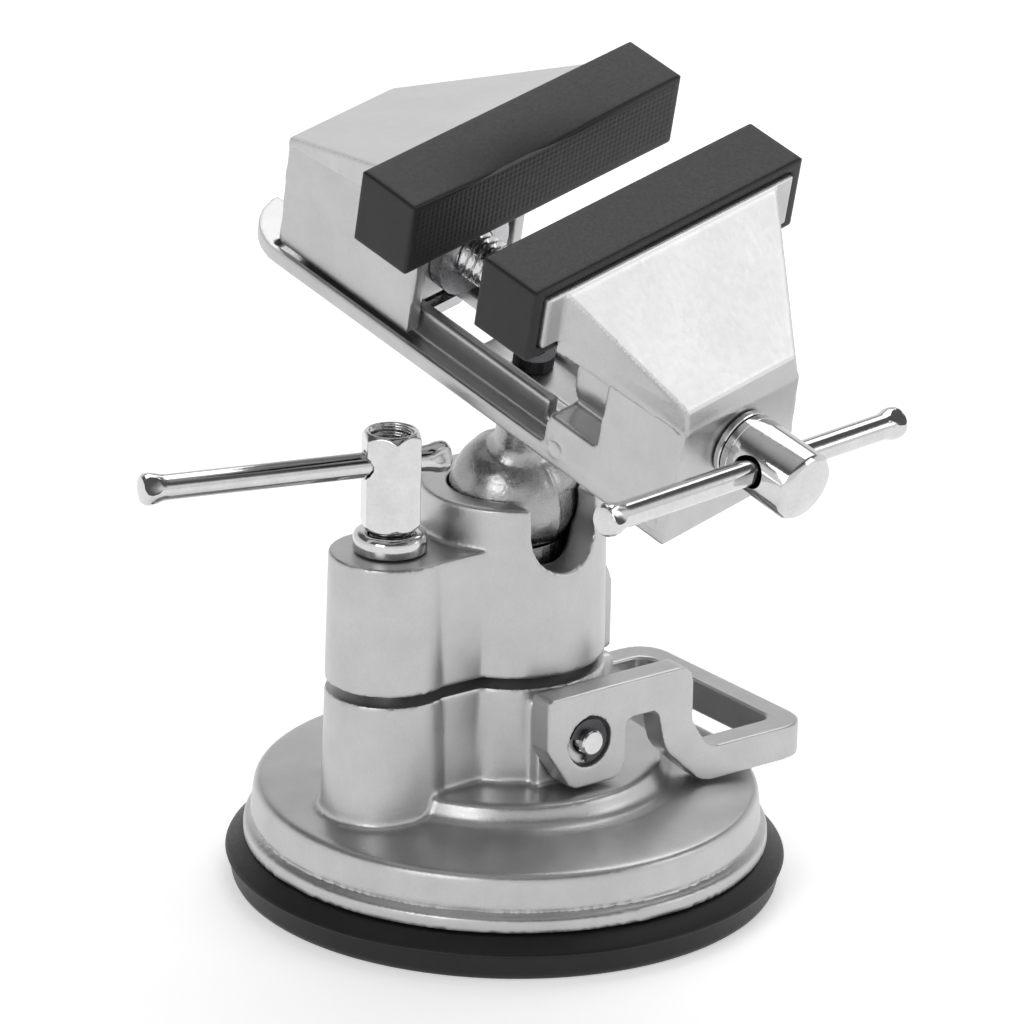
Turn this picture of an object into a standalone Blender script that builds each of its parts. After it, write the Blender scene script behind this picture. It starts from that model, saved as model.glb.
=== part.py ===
"""A small bench vise on a ball joint, for holding circuit boards.

A lever pulls the middle of a rubber cup upwards to hold the base to a bench. A long nut squeezes a
split clamp onto the ball. The vise head sits on the ball's neck. The origin is on the base's axis at
the bench, +Z is up, and +X runs from the clamp's stud through the ball towards the lever's handle.
Lengths are in millimetres until a mesh is made.
"""

import math

import bmesh
import bpy
from mathutils import Matrix, Vector

MM = 0.001
GAP = 0.3  # between neighbours that touch on the real object
ROUND = 40  # sides of a large round shape
SMALL = 20  # sides of a small one

# Suction base
CUP_R = 55.0
MEMBRANE_TOP = 3.6
RIM_BOTTOM = 8.7
SHELF_TOP = 26.3
SHELF_R = 30.0
PIN_Z = 36.3
PIN_R = 2.5
SUCTION_TRAVEL = 1.0

# Column and clamp
COLUMN_R = 18.6
LOBE_R = 12.2
WEB_HALF = 11.2
STUD_X = -29.3
STUD_R = 4.0
COLUMN_TOP = 45.8
CLAMP_BOTTOM = 47.8
LOBE_TOP = 73.6
CLAMP_TOP = 82.2
POST_R = 11.0
POST_TOP = 62.0
SLOT_HALF = 7.6
SLOT_Z = 76.1
TONGUE_X = 22.2
FULCRUM_X = 23.2
FULCRUM_HALF = 4.0
COLLAR_TOP = 77.8
NUT_TOP = 98.0
NUT_ACROSS_FLATS = 10.6
NUT_FACE_TURN = -25.2
NUT_BAR_Z = 91.5
NUT_BAR_TURN = -15.5
NUT_BAR_LENGTH = 62.2
NUT_BAR_SHIFT = -19.4

# Lever, measured from its pin
CHEEK_OUTSIDE = 26.3
CHEEK_INSIDE = 20.5
HANDLE_END = 55.5
HANDLE_TOP = -8.0
HANDLE_BOTTOM = -14.8

# Ball and head; the head's own axes are u along the screw, v along the jaws and w upwards
BALL_Z = 79.9
BALL_R = 12.56
SOCKET_GAP = 0.4
NECK_R = 5.2
HEAD_ANGLES = (9.9, 17.4, -79.3)
BED_BOTTOM = 29.1
BED_TOP = 32.5
BED_LEFT = -66.5
BED_RIGHT = 51.5
BED_HALF = 17.0
RAIL_OUT = 11.0
RAIL_IN = 8.4
RAIL_TOP = 36.8
RAIL_START = -53.0
RAIL_END = 14.5
FLOOR_SLOT_HALF = 4.6
FLOOR_SLOT_END = -10.1
PANEL_LEFT = 18.5
JAW_TOP = 79.3
PLATE_HALF = 32.7
PLATE_BOTTOM = 68.2
FLARE_HALF = 28.4
PAD_HALF = 35.6
PAD_BOTTOM = 65.8
PAD_TOP = 81.7
PAD_DEPTH = 13.8
FIXED_FACE = 13.8
MOVING_FACE = -4.3
SCREW_W = 46.3
SCREW_R = 4.9
SCREW_HEAD_R = 6.9
SCREW_LEFT = -52.0
WASHER_R = 6.8
SCREW_HEAD_START = 53.4
SCREW_HEAD_END = 69.3
SCREW_BAR_U = 60.2
SCREW_BAR_TURN = 11.1
SCREW_BAR_NEAR = 47.3
SCREW_BAR_FAR = 37.2
BAR_R = 2.5


# ---------------------------------------------------------------- tools


def clear_scene():
    for obj in list(bpy.data.objects):
        bpy.data.objects.remove(obj, do_unlink=True)


def new_collection(name):
    collection = bpy.data.collections.new(name)
    bpy.context.scene.collection.children.link(collection)
    return collection


def new_material(name, colour, roughness, metallic):
    material = bpy.data.materials.new(name)
    material.use_nodes = True
    shader = material.node_tree.nodes["Principled BSDF"]
    shader.inputs["Base Color"].default_value = (*colour, 1.0)
    shader.inputs["Roughness"].default_value = roughness
    shader.inputs["Metallic"].default_value = metallic
    material.diffuse_color = (*colour, 1.0)
    return material


def pivot(name, place, angles=(0.0, 0.0, 0.0), parent=None):
    """An empty that a group of pieces hangs on: place in millimetres, angles in degrees."""
    empty = bpy.data.objects.new(name, None)
    empty.location = [c * MM for c in place]
    empty.rotation_euler = [math.radians(a) for a in angles]
    empty.parent = parent
    PARTS.objects.link(empty)
    return empty


def place(name, mesh, parent):
    obj = bpy.data.objects.new(name, mesh)
    obj.parent = parent
    PARTS.objects.link(obj)
    return obj


def from_bmesh(name, bm, parent):
    bmesh.ops.scale(bm, vec=(MM, MM, MM), verts=bm.verts)
    bmesh.ops.recalc_face_normals(bm, faces=bm.faces)
    mesh = bpy.data.meshes.new(name)
    bm.to_mesh(mesh)
    bm.free()
    mesh.shade_smooth()
    mesh.set_sharp_from_angle(angle=math.radians(35))
    return place(name, mesh, parent)


def block(name, low, high, parent=None):
    bm = bmesh.new()
    bmesh.ops.create_cube(bm, size=1)
    bmesh.ops.scale(bm, vec=[b - a for a, b in zip(low, high)], verts=bm.verts)
    bmesh.ops.translate(bm, vec=[(a + b) / 2 for a, b in zip(low, high)], verts=bm.verts)
    return from_bmesh(name, bm, parent)


def tapered_block(name, ends, parent=None):
    """A block along X with two different ends.

    Each end is (x at its bottom, x at its top, half width at its bottom, half width at its top, bottom, top).
    """
    bm = bmesh.new()
    bmesh.ops.create_cube(bm, size=2)
    for vert in bm.verts:
        bottom_x, top_x, bottom_half, top_half, bottom, top = ends[vert.co.x > 0]
        if vert.co.z > 0:
            vert.co = (top_x, math.copysign(top_half, vert.co.y), top)
        else:
            vert.co = (bottom_x, math.copysign(bottom_half, vert.co.y), bottom)
    return from_bmesh(name, bm, parent)


def rod(name, start, end, radius, end_radius=None, sides=ROUND, parent=None):
    """A round bar between two points, or a cone when end_radius is given."""
    start, end = Vector(start), Vector(end)
    along = end - start
    turn = along.to_track_quat("Z", "Y").to_matrix().to_4x4()
    bm = bmesh.new()
    bmesh.ops.create_cone(
        bm,
        cap_ends=True,
        segments=sides,
        radius1=radius,
        radius2=radius if end_radius is None else end_radius,
        depth=along.length,
        matrix=Matrix.Translation((start + end) / 2) @ turn,
    )
    return from_bmesh(name, bm, parent)


def ball(name, centre, radius, parent=None, rings=20):
    bm = bmesh.new()
    bmesh.ops.create_uvsphere(
        bm, u_segments=2 * rings, v_segments=rings, radius=radius, matrix=Matrix.Translation(centre)
    )
    return from_bmesh(name, bm, parent)


def turned(name, profile, parent=None, steps=ROUND, closed=False, along_x=False):
    """Turns a profile of (radius, height) points, listed top to bottom, about Z, or about X."""
    count = len(profile)
    edges = [(i, i + 1) for i in range(count - 1)]
    if closed:
        edges.append((count - 1, 0))
    mesh = bpy.data.meshes.new(name)
    mesh.from_pydata([(r * MM, 0.0, z * MM) for r, z in profile], edges, [])
    obj = place(name, mesh, parent)
    if along_x:
        obj.rotation_euler = (0.0, math.radians(90), 0.0)
    screw = obj.modifiers.new("turn", "SCREW")
    screw.axis = "Z"
    screw.steps = steps
    screw.render_steps = steps
    screw.use_merge_vertices = True
    screw.merge_threshold = 0.00001
    screw.use_smooth_shade = True
    return obj


def rounded(corners, arc_steps=5):
    """An outline whose (x, y, radius) corners are replaced by arcs that touch both sides."""
    outline = []
    for i, (x, y, radius) in enumerate(corners):
        corner = Vector((x, y))
        before = (Vector(corners[i - 1][:2]) - corner).normalized()
        after = (Vector(corners[(i + 1) % len(corners)][:2]) - corner).normalized()
        if not radius:
            outline.append((x, y))
            continue
        half = before.angle(after) / 2
        centre = corner + (before + after).normalized() * (radius / math.sin(half))
        reach = radius / math.tan(half)
        first = corner + before * reach - centre
        last = corner + after * reach - centre
        start = math.atan2(first.y, first.x)
        sweep = math.remainder(math.atan2(last.y, last.x) - start, 2 * math.pi)
        for step in range(arc_steps + 1):
            angle = start + sweep * step / arc_steps
            outline.append((centre.x + radius * math.cos(angle), centre.y + radius * math.sin(angle)))
    return outline


def plate(name, outline, low, high, parent=None, upright=False):
    """A flat outline made thick from low to high along Z, or along Y when upright (outline in X, Z)."""
    curve = bpy.data.curves.new(name, "CURVE")
    curve.dimensions = "2D"
    curve.fill_mode = "BOTH"
    curve.extrude = (high - low) / 2 * MM
    spline = curve.splines.new("POLY")
    spline.points.add(len(outline) - 1)
    for point, (x, y) in zip(spline.points, outline):
        point.co = (x * MM, y * MM, 0.0, 1.0)
    spline.use_cyclic_u = True
    guide = bpy.data.objects.new(name, curve)
    PARTS.objects.link(guide)
    middle = (low + high) / 2 * MM
    if upright:
        matrix = Matrix.Translation((0, middle, 0)) @ Matrix.Rotation(math.radians(90), 4, "X")
    else:
        matrix = Matrix.Translation((0, 0, middle))
    bpy.context.view_layer.update()
    solid = guide.evaluated_get(bpy.context.evaluated_depsgraph_get())
    mesh = bpy.data.meshes.new_from_object(solid)
    bpy.data.objects.remove(guide, do_unlink=True)
    bm = bmesh.new()
    bm.from_mesh(mesh)
    bmesh.ops.remove_doubles(bm, verts=bm.verts, dist=0.000001)
    bmesh.ops.transform(bm, matrix=Matrix.Scale(1 / MM, 4) @ matrix, verts=bm.verts)
    bpy.data.meshes.remove(mesh)
    return from_bmesh(name, bm, parent)


def combine(obj, operation, others):
    """Joins, cuts or intersects obj with helper shapes, which are kept out of the model."""
    for other in others:
        PARTS.objects.unlink(other)
        HELPERS.objects.link(other)
        other.hide_render = True
        other.display_type = "WIRE"
        modifier = obj.modifiers.new(other.name, "BOOLEAN")
        modifier.operation = operation
        modifier.object = other


def join(obj, *others):
    combine(obj, "UNION", others)


def cut(obj, *others):
    combine(obj, "DIFFERENCE", others)


def keep_inside(obj, other):
    combine(obj, "INTERSECT", [other])


def finish(obj, material):
    obj.data.materials.append(material)
    for modifier in obj.modifiers:
        if modifier.type == "BOOLEAN" and modifier.object:
            modifier.object.data.materials.append(material)


# ---------------------------------------------------------------- suction base


def suction_cup():
    cup = turned(
        "suction_cup",
        [
            (0, MEMBRANE_TOP), (43.0, MEMBRANE_TOP), (45.0, RIM_BOTTOM - GAP), (51.4, RIM_BOTTOM - GAP),
            (CUP_R, 5.9), (CUP_R, 5.3), (53.9, 4.9), (53.9, 1.6), (53.4, 0.5), (52.4, 0), (0, 0),
        ],
        steps=56,
    )
    finish(cup, RUBBER)


def base_housing():
    housing = turned(
        "base_housing",
        [
            (0, SHELF_TOP), (SHELF_R - 0.5, SHELF_TOP), (SHELF_R + 0.2, 25.9), (SHELF_R + 0.5, 25.0),
            (31.2, 23.2), (33.0, 22.0), (36.6, 21.2), (48.3, 19.9), (49.2, 19.6), (49.6, 18.9),
            (50.2, 13.0), (49.8, 12.7), (49.8, 12.2), (50.9, 11.8), (51.6, 11.3), (51.6, RIM_BOTTOM),
            (46.6, RIM_BOTTOM), (46.2, 15.6), (36.0, 17.0), (30.0, 18.6), (27.5, 21.8), (0, 21.8),
        ],
        steps=56,
    )
    join(
        housing,
        rod("column", (0, 0, 23), (0, 0, COLUMN_TOP), COLUMN_R + 0.5, COLUMN_R),
        rod("column_lobe", (STUD_X, 0, 18.6), (STUD_X, 0, COLUMN_TOP), LOBE_R + 0.5, LOBE_R),
        block("column_web", (STUD_X, -WEB_HALF, 20), (-8, WEB_HALF, COLUMN_TOP)),
        block("lever_boss", (-7.7, -19.9, 23), (7.7, 19.9, 43)),
        block("fulcrum_post", (12, -FULCRUM_HALF, 23), (FULCRUM_X, FULCRUM_HALF, 42.4)),
        rod("seat_post", (0, 0, 44), (0, 0, POST_TOP), POST_R),
    )
    cut(
        housing,
        rod("plunger_bore", (0, 0, 15), (0, 0, 42.6), 6.4, sides=SMALL),
        block("pin_slot", (-2.9, -28, PIN_Z - PIN_R - GAP), (2.9, 28, PIN_Z + PIN_R + SUCTION_TRAVEL + GAP)),
        rod("stud_hole", (STUD_X, 0, 15), (STUD_X, 0, 50), STUD_R + 0.4, sides=SMALL),
        rod("stud_pocket", (STUD_X, 0, 12), (STUD_X, 0, 24.5), 8.5, sides=SMALL),
        rod("spigot_hole", (0, 0, 54), (0, 0, 70), 4.4, sides=SMALL),
    )
    finish(housing, CAST)


def plunger():
    rod_piece = turned(
        "plunger",
        [(0, 41.2), (5.4, 41.2), (6.0, 40.6), (6.0, 9.0), (8.5, 7.4), (21.0, 7.2), (21.0, 4.8), (0, 4.8)],
        steps=28,
    )
    cut(rod_piece, rod("plunger_eye", (0, -10, PIN_Z), (0, 10, PIN_Z), PIN_R + 0.25, sides=SMALL))
    finish(rod_piece, STEEL)


def suction_lever(hinge):
    """The stirrup: its side outline, kept inside a U-shaped plan, with the pin's holes."""
    side = rounded(
        [
            (-10.0, 10.3, 1.0), (25.2, 10.4, 3.0), (25.2, -1.0, 4.0), (29.6, HANDLE_TOP, 5.0),
            (HANDLE_END + 1, HANDLE_TOP, 0), (HANDLE_END + 1, HANDLE_BOTTOM, 0),
            (28.0, HANDLE_BOTTOM, 6.0), (18.6, -6.0, 8.0), (16.6, 2.6, 1.5), (8.7, 2.6, 1.8),
            (8.7, -9.3, 3.5), (-4.2, -9.3, 4.0), (-10.0, -0.6, 1.5),
        ]
    )
    lever = plate("suction_lever", side, -CHEEK_OUTSIDE, CHEEK_OUTSIDE, parent=hinge, upright=True)
    plan = rounded(
        [
            (-12, -CHEEK_OUTSIDE, 0), (HANDLE_END, -CHEEK_OUTSIDE, 6.5), (HANDLE_END, CHEEK_OUTSIDE, 6.5),
            (-12, CHEEK_OUTSIDE, 0), (-12, CHEEK_INSIDE, 0), (HANDLE_END - 5.2, CHEEK_INSIDE, 3.0),
            (HANDLE_END - 5.2, -CHEEK_INSIDE, 3.0), (-12, -CHEEK_INSIDE, 0),
        ]
    )
    keep_inside(lever, plate("lever_plan", plan, -20, 20, parent=hinge))
    cut(lever, rod("lever_eye", (0, -30, 0), (0, 30, 0), PIN_R + 0.25, sides=SMALL, parent=hinge))
    for side_sign in (-1, 1):
        recess = rod(
            f"clip_recess_{side_sign}",
            (0, side_sign * (CHEEK_OUTSIDE - 1.6), 0),
            (0, side_sign * 30, 0),
            5.1,
            sides=SMALL,
            parent=hinge,
        )
        cut(lever, recess)
    finish(lever, CAST)


def lever_pin(hinge):
    pin = rod("lever_pin", (0, -27.4, 0), (0, 27.4, 0), PIN_R, sides=SMALL, parent=hinge)
    for sign in (-1, 1):
        groove = turned(
            f"pin_groove_{sign}",
            [(4.0, 25.9), (4.0, 24.9), (2.0, 24.9), (2.0, 25.9)],
            parent=hinge,
            steps=SMALL,
            closed=True,
        )
        groove.rotation_euler = (math.radians(-90 * sign), 0, 0)
        cut(pin, groove)
    finish(pin, CHROME)


def lever_clips(hinge):
    """Open rings that sprung into the pin's grooves hold the cheeks on."""
    opening = math.radians(50)
    facing = math.radians(215)
    steps = 18
    angles = [facing + opening + (2 * math.pi - 2 * opening) * i / steps for i in range(steps + 1)]
    outline = [(4.4 * math.cos(a), 4.4 * math.sin(a)) for a in angles]
    outline += [(2.3 * math.cos(a), 2.3 * math.sin(a)) for a in reversed(angles)]
    for name, low in (("lever_clip_near", -25.75), ("lever_clip_far", 25.05)):
        finish(plate(name, outline, low, low + 0.7, parent=hinge, upright=True), DARK_STEEL)


# ---------------------------------------------------------------- clamp


def clamp_stud():
    stud = rod("clamp_stud", (STUD_X, 0, 22), (STUD_X, 0, 87.4), STUD_R, sides=SMALL)
    join(stud, rod("stud_head", (STUD_X, 0, 20.2), (STUD_X, 0, 24.2), 7.5, sides=6))
    finish(stud, STEEL)


def upper_clamp():
    clamp = rod("upper_clamp", (0, 0, CLAMP_BOTTOM), (0, 0, CLAMP_TOP), COLUMN_R, COLUMN_R - 0.4)
    join(
        clamp,
        rod("clamp_lobe", (STUD_X, 0, CLAMP_BOTTOM), (STUD_X, 0, LOBE_TOP), LOBE_R, LOBE_R - 0.4),
        block("clamp_web", (STUD_X, -WEB_HALF, CLAMP_BOTTOM), (-8, WEB_HALF, LOBE_TOP)),
        tapered_block(
            "tongue_top",
            [
                (15, 15, FULCRUM_HALF, FULCRUM_HALF, 50, 66),
                (TONGUE_X, TONGUE_X, FULCRUM_HALF, FULCRUM_HALF, 50, 58),
            ],
        ),
        block("tongue_leg", (COLUMN_R + 0.4, -FULCRUM_HALF, 43.1), (TONGUE_X, FULCRUM_HALF, 52)),
        block("tongue_root", (12, -FULCRUM_HALF, CLAMP_BOTTOM), (TONGUE_X, FULCRUM_HALF, 52)),
    )
    cut(
        clamp,
        rod("post_bore", (0, 0, 40), (0, 0, 75), POST_R + SOCKET_GAP),
        ball("socket", (0, 0, BALL_Z), BALL_R + SOCKET_GAP),
        rod("slot_end", (0, -30, SLOT_Z), (0, 0, SLOT_Z), SLOT_HALF),
        block("slot", (-SLOT_HALF, -30, SLOT_Z), (SLOT_HALF, 0, 90)),
        rod("clamp_hole", (STUD_X, 0, 40), (STUD_X, 0, 80), STUD_R + 0.5, sides=SMALL),
    )
    finish(clamp, CAST)


def clamp_collar():
    low = LOBE_TOP + GAP
    collar = turned(
        "clamp_collar",
        [(4.5, COLLAR_TOP), (6.7, COLLAR_TOP), (7.2, COLLAR_TOP - 0.5), (7.2, low), (4.5, low)],
        steps=28,
        closed=True,
    )
    collar.location = (STUD_X * MM, 0, 0)
    finish(collar, CHROME)


def clamp_nut(turner):
    """A long hexagonal nut; its turning empty is on the stud at the height of the bar."""
    corner = NUT_ACROSS_FLATS / 2 / math.cos(math.radians(30))
    low, high = COLLAR_TOP + 0.6 - NUT_BAR_Z, NUT_TOP - NUT_BAR_Z
    nut = rod("clamp_nut", (0, 0, low), (0, 0, high), corner, sides=6, parent=turner)
    nut.rotation_euler = (0, 0, math.radians(NUT_FACE_TURN))
    crown = turned(
        "nut_crown",
        [(0, high), (5.0, high), (6.4, high - 1.1), (6.4, low + 0.9), (5.2, low), (0, low)],
        parent=turner,
        steps=SMALL,
    )
    keep_inside(nut, crown)
    along = Vector((math.cos(math.radians(NUT_BAR_TURN)), math.sin(math.radians(NUT_BAR_TURN)), 0))
    cut(
        nut,
        rod("nut_thread", (0, 0, low - 5), (0, 0, high + 5), STUD_R + 0.25, sides=SMALL, parent=turner),
        rod("nut_eye", along * -15, along * 15, BAR_R + 0.3, sides=SMALL, parent=turner),
    )
    finish(nut, CHROME)


def handle_bar(name, start, end, parent):
    """A round bar with both ends swaged wider than its hole."""
    start, end = Vector(start), Vector(end)
    along = (end - start).normalized()
    bar = rod(name, start, end, BAR_R, sides=SMALL, parent=parent)
    join(
        bar,
        rod(f"{name}_first_end", start - along * 0.2, start + along * 4.6, 3.15, 2.9, SMALL, parent),
        rod(f"{name}_last_end", end - along * 4.6, end + along * 0.2, 2.9, 3.15, SMALL, parent),
    )
    finish(bar, CHROME)


# ---------------------------------------------------------------- ball and its seat


def ball_seat():
    low = POST_TOP + GAP
    hollow = ball("seat_hollow", (0, 0, BALL_Z), BALL_R + SOCKET_GAP)
    seat = turned(
        "ball_seat",
        [(0, 71.5), (9.0, 71.5), (9.6, 70.9), (9.6, low), (4.1, low), (4.1, 55.0), (0, 55.0)],
        steps=28,
    )
    cut(seat, hollow)
    finish(seat, STEEL)


def ball_stud(head):
    stud = ball("ball_stud", (0, 0, 0), BALL_R, parent=head)
    top = BED_BOTTOM - 0.4
    join(
        stud,
        rod("neck", (0, 0, 9), (0, 0, top), NECK_R, sides=28, parent=head),
        rod("neck_flare", (0, 0, top - 4.2), (0, 0, top), NECK_R - 0.1, 6.6, 28, head),
    )
    cut(stud, rod("neck_thread", (0, 0, 18), (0, 0, 35), 2.6, sides=SMALL, parent=head))
    finish(stud, BALL_METAL)


def neck_screw(head):
    screw = rod("neck_screw", (0, 0, 19), (0, 0, 33), 2.3, sides=SMALL, parent=head)
    join(screw, rod("neck_screw_head", (0, 0, 31.8), (0, 0, 34.6), 4.0, sides=SMALL, parent=head))
    cut(screw, rod("neck_screw_key", (0, 0, 33), (0, 0, 36), 2.0, sides=6, parent=head))
    finish(screw, DARK_STEEL)


# ---------------------------------------------------------------- vise head


def vise_bed(head):
    """The bed, its two rails and the fixed jaw are one casting."""
    outline = rounded(
        [
            (BED_LEFT, -BED_HALF, 13), (BED_RIGHT, -BED_HALF, 1.0),
            (BED_RIGHT, BED_HALF, 1.0), (BED_LEFT, BED_HALF, 13),
        ],
        arc_steps=8,
    )
    bed = plate("vise_bed", outline, BED_BOTTOM, BED_TOP, parent=head)
    for sign in (-1, 1):
        inner, outer = sorted((sign * RAIL_OUT, sign * 15.6))
        cut(bed, block(f"channel_{sign}", (-56, inner, 30.6), (PANEL_LEFT, outer, 36), head))
        inner, outer = sorted((sign * RAIL_IN, sign * RAIL_OUT))
        join(bed, block(f"rail_{sign}", (RAIL_START, inner, 30), (RAIL_END, outer, RAIL_TOP), head))
    cut(bed, block("floor_slot", (-80, -FLOOR_SLOT_HALF, 25), (FLOOR_SLOT_END, FLOOR_SLOT_HALF, 40), head))
    cut(bed, block("floor_dip", (FLOOR_SLOT_END - 1, -FLOOR_SLOT_HALF, 31.5), (PANEL_LEFT - 0.5, FLOOR_SLOT_HALF, 40), head))
    plate_back = FIXED_FACE + PAD_DEPTH + GAP
    join(
        bed,
        tapered_block(
            "low_wall",
            [
                (PANEL_LEFT, PANEL_LEFT + 1, BED_HALF, 16.6, BED_BOTTOM, 39.4),
                (33, 33, BED_HALF, 16.6, BED_BOTTOM, 39.4),
            ],
            head,
        ),
        tapered_block(
            "jaw_foot",
            [
                (31.6, 31.6, BED_HALF, 15.4, BED_BOTTOM, 64.5),
                (BED_RIGHT, BED_RIGHT, BED_HALF, 15.4, BED_BOTTOM, 54.6),
            ],
            head,
        ),
        rod("screw_boss", (20.2, 0, SCREW_W), (40, 0, SCREW_W), 11.5, parent=head),
        block("jaw_core", (23, -7, 46), (40, 7, PAD_BOTTOM - GAP), head),
        tapered_block(
            "jaw_flare",
            [
                (plate_back, plate_back, 28.2, 28.4, 65.3, JAW_TOP),
                (BED_RIGHT, 50.2, 15.1, 14.5, 53.7, 58.9),
            ],
            head,
        ),
        block(
            "jaw_plate",
            (FIXED_FACE + 3.4, -PLATE_HALF, PLATE_BOTTOM),
            (plate_back + 0.6, PLATE_HALF, JAW_TOP),
            head,
        ),
    )
    cut(
        bed,
        rod("screw_bore", (10, 0, SCREW_W), (60, 0, SCREW_W), SCREW_R + 0.4, sides=SMALL, parent=head),
        rod("neck_screw_hole", (0, 0, 25), (0, 0, 33), 2.9, sides=SMALL, parent=head),
    )
    finish(bed, CAST)


def moving_jaw(head):
    back = MOVING_FACE - PAD_DEPTH - GAP
    jaw = tapered_block(
        "moving_jaw",
        [
            (-55.3, -56.8, 15.0, 14.2, BED_TOP + GAP, 55.2),
            (back - 1.2, back - 1.2, 15.0, 14.2, BED_TOP + GAP, 72.5),
        ],
        head,
    )
    join(
        jaw,
        tapered_block(
            "moving_flare",
            [(-56.8, -57, 14.2, 13.9, 54.6, 56.3), (back, back, 29.0, 29.4, 71.6, JAW_TOP)],
            head,
        ),
        block(
            "moving_plate",
            (back - 0.6, -PLATE_HALF, PLATE_BOTTOM),
            (MOVING_FACE - 3.4, PLATE_HALF, JAW_TOP),
            head,
        ),
    )
    cut(
        jaw,
        block("front_recess", (-21.5, -11.7, 25), (-12, 11.7, 64.5), head),
        block("rail_way", (-70, -RAIL_OUT - 0.4, 25), (-10, RAIL_OUT + 0.4, RAIL_TOP + GAP), head),
        block("chamber", (-53.5, -11, 39), (-25, 11, 53), head),
        rod("jaw_screw_hole", (-70, 0, SCREW_W), (-30, 0, SCREW_W), SCREW_R + 0.9, sides=SMALL, parent=head),
        rod("nut_seat", (-30, 0, SCREW_W), (-15, 0, SCREW_W), 7.0, sides=28, parent=head),
    )
    tongue_half = FLOOR_SLOT_HALF - GAP
    join(jaw, block("tongue", (-48, -tongue_half, BED_BOTTOM), (-28, tongue_half, 38), head))
    for u in (-43, -33):
        cut(jaw, rod(f"tongue_hole{u}", (u, 0, 25), (u, 0, 35), 1.9, sides=12, parent=head))
    finish(jaw, CAST)


def jaw_pad(name, face, back, head):
    """A rubber cap over a jaw plate: closed over the grip, the top, the bottom and both ends."""
    low, high = sorted((face, back))
    pad = block(name, (low, -PAD_HALF, PAD_BOTTOM), (high, PAD_HALF, PAD_TOP), head)
    inward = math.copysign(1, back - face)
    low, high = sorted((face + 3.1 * inward, back + 5 * inward))
    room = (
        (low, -PLATE_HALF - GAP, PLATE_BOTTOM - GAP),
        (high, PLATE_HALF + GAP, JAW_TOP + GAP),
    )
    cut(pad, block(f"{name}_pocket", *room, head))
    finish(pad, RUBBER)


def jaw_nut(head):
    nut = turned(
        "jaw_nut",
        [(5.1, -18.5), (9.2, -18.5), (9.2, -21.2), (6.7, -21.2), (6.7, -25.0), (5.1, -25.0)],
        parent=head,
        steps=28,
        closed=True,
        along_x=True,
    )
    nut.location = (0, 0, SCREW_W * MM)
    finish(nut, STEEL)


def keeper(head):
    """A plate under the bed that stops the moving jaw from lifting, and its two screws."""
    keeper_plate = block("keeper_plate", (-50, -9, 26.2), (-26, 9, BED_BOTTOM - 0.4), head)
    for number, u in enumerate((-43, -33), 1):
        cut(keeper_plate, rod(f"keeper_hole_{number}", (u, 0, 20), (u, 0, 35), 1.9, sides=12, parent=head))
        screw = rod(f"keeper_screw_{number}", (u, 0, 25), (u, 0, 34.5), 1.6, sides=12, parent=head)
        join(
            screw,
            rod(f"keeper_head_{number}", (u, 0, 24.3), (u, 0, 26.2 - GAP), 2.6, 3.0, SMALL, head),
        )
        cut(screw, block(f"keeper_cross_{number}", (u - 2.2, -0.4, 24), (u + 2.2, 0.4, 25), head))
        finish(screw, STEEL)
    finish(keeper_plate, STEEL)


def lead_screw(turner):
    """The screw lies on its own empty's X axis."""
    screw = turned(
        "lead_screw",
        [
            (0, SCREW_HEAD_END), (SCREW_HEAD_R - 0.8, SCREW_HEAD_END), (SCREW_HEAD_R, SCREW_HEAD_END - 0.8),
            (SCREW_HEAD_R, SCREW_HEAD_START), (SCREW_R, SCREW_HEAD_START), (SCREW_R, 19.8), (4.2, 19.8),
            (4.2, 17.8), (SCREW_R, 17.8), (SCREW_R, SCREW_LEFT + 1), (SCREW_R - 1, SCREW_LEFT),
            (0, SCREW_LEFT),
        ],
        parent=turner,
        steps=28,
        along_x=True,
    )
    across = screw_bar_direction() * 15
    middle = Vector((SCREW_BAR_U, 0, 0))
    cut(screw, rod("screw_eye", middle - across, middle + across, BAR_R + 0.3, sides=SMALL, parent=turner))
    finish(screw, CHROME)


def ring_on_screw(name, start, end, inside, outside, material, head):
    ring = turned(
        name,
        [(inside, end), (outside, end), (outside, start), (inside, start)],
        parent=head,
        steps=28,
        closed=True,
        along_x=True,
    )
    ring.location = (0, 0, SCREW_W * MM)
    finish(ring, material)


def screw_bar_direction():
    turn = math.radians(SCREW_BAR_TURN)
    return Vector((0, math.cos(turn), -math.sin(turn)))


# ---------------------------------------------------------------- the whole object


def build_base():
    suction_cup()
    base_housing()
    plunger()
    lever_hinge = pivot("lever_hinge", (0, 0, PIN_Z))
    suction_lever(lever_hinge)
    lever_pin(lever_hinge)
    lever_clips(lever_hinge)


def build_clamp():
    clamp_stud()
    upper_clamp()
    clamp_collar()
    turner = pivot("nut_turner", (STUD_X, 0, NUT_BAR_Z))
    clamp_nut(turner)
    turn = math.radians(NUT_BAR_TURN)
    along = Vector((math.cos(turn), math.sin(turn), 0))
    low, high = NUT_BAR_SHIFT - NUT_BAR_LENGTH / 2, NUT_BAR_SHIFT + NUT_BAR_LENGTH / 2
    handle_bar("nut_bar", along * low, along * high, turner)


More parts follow.
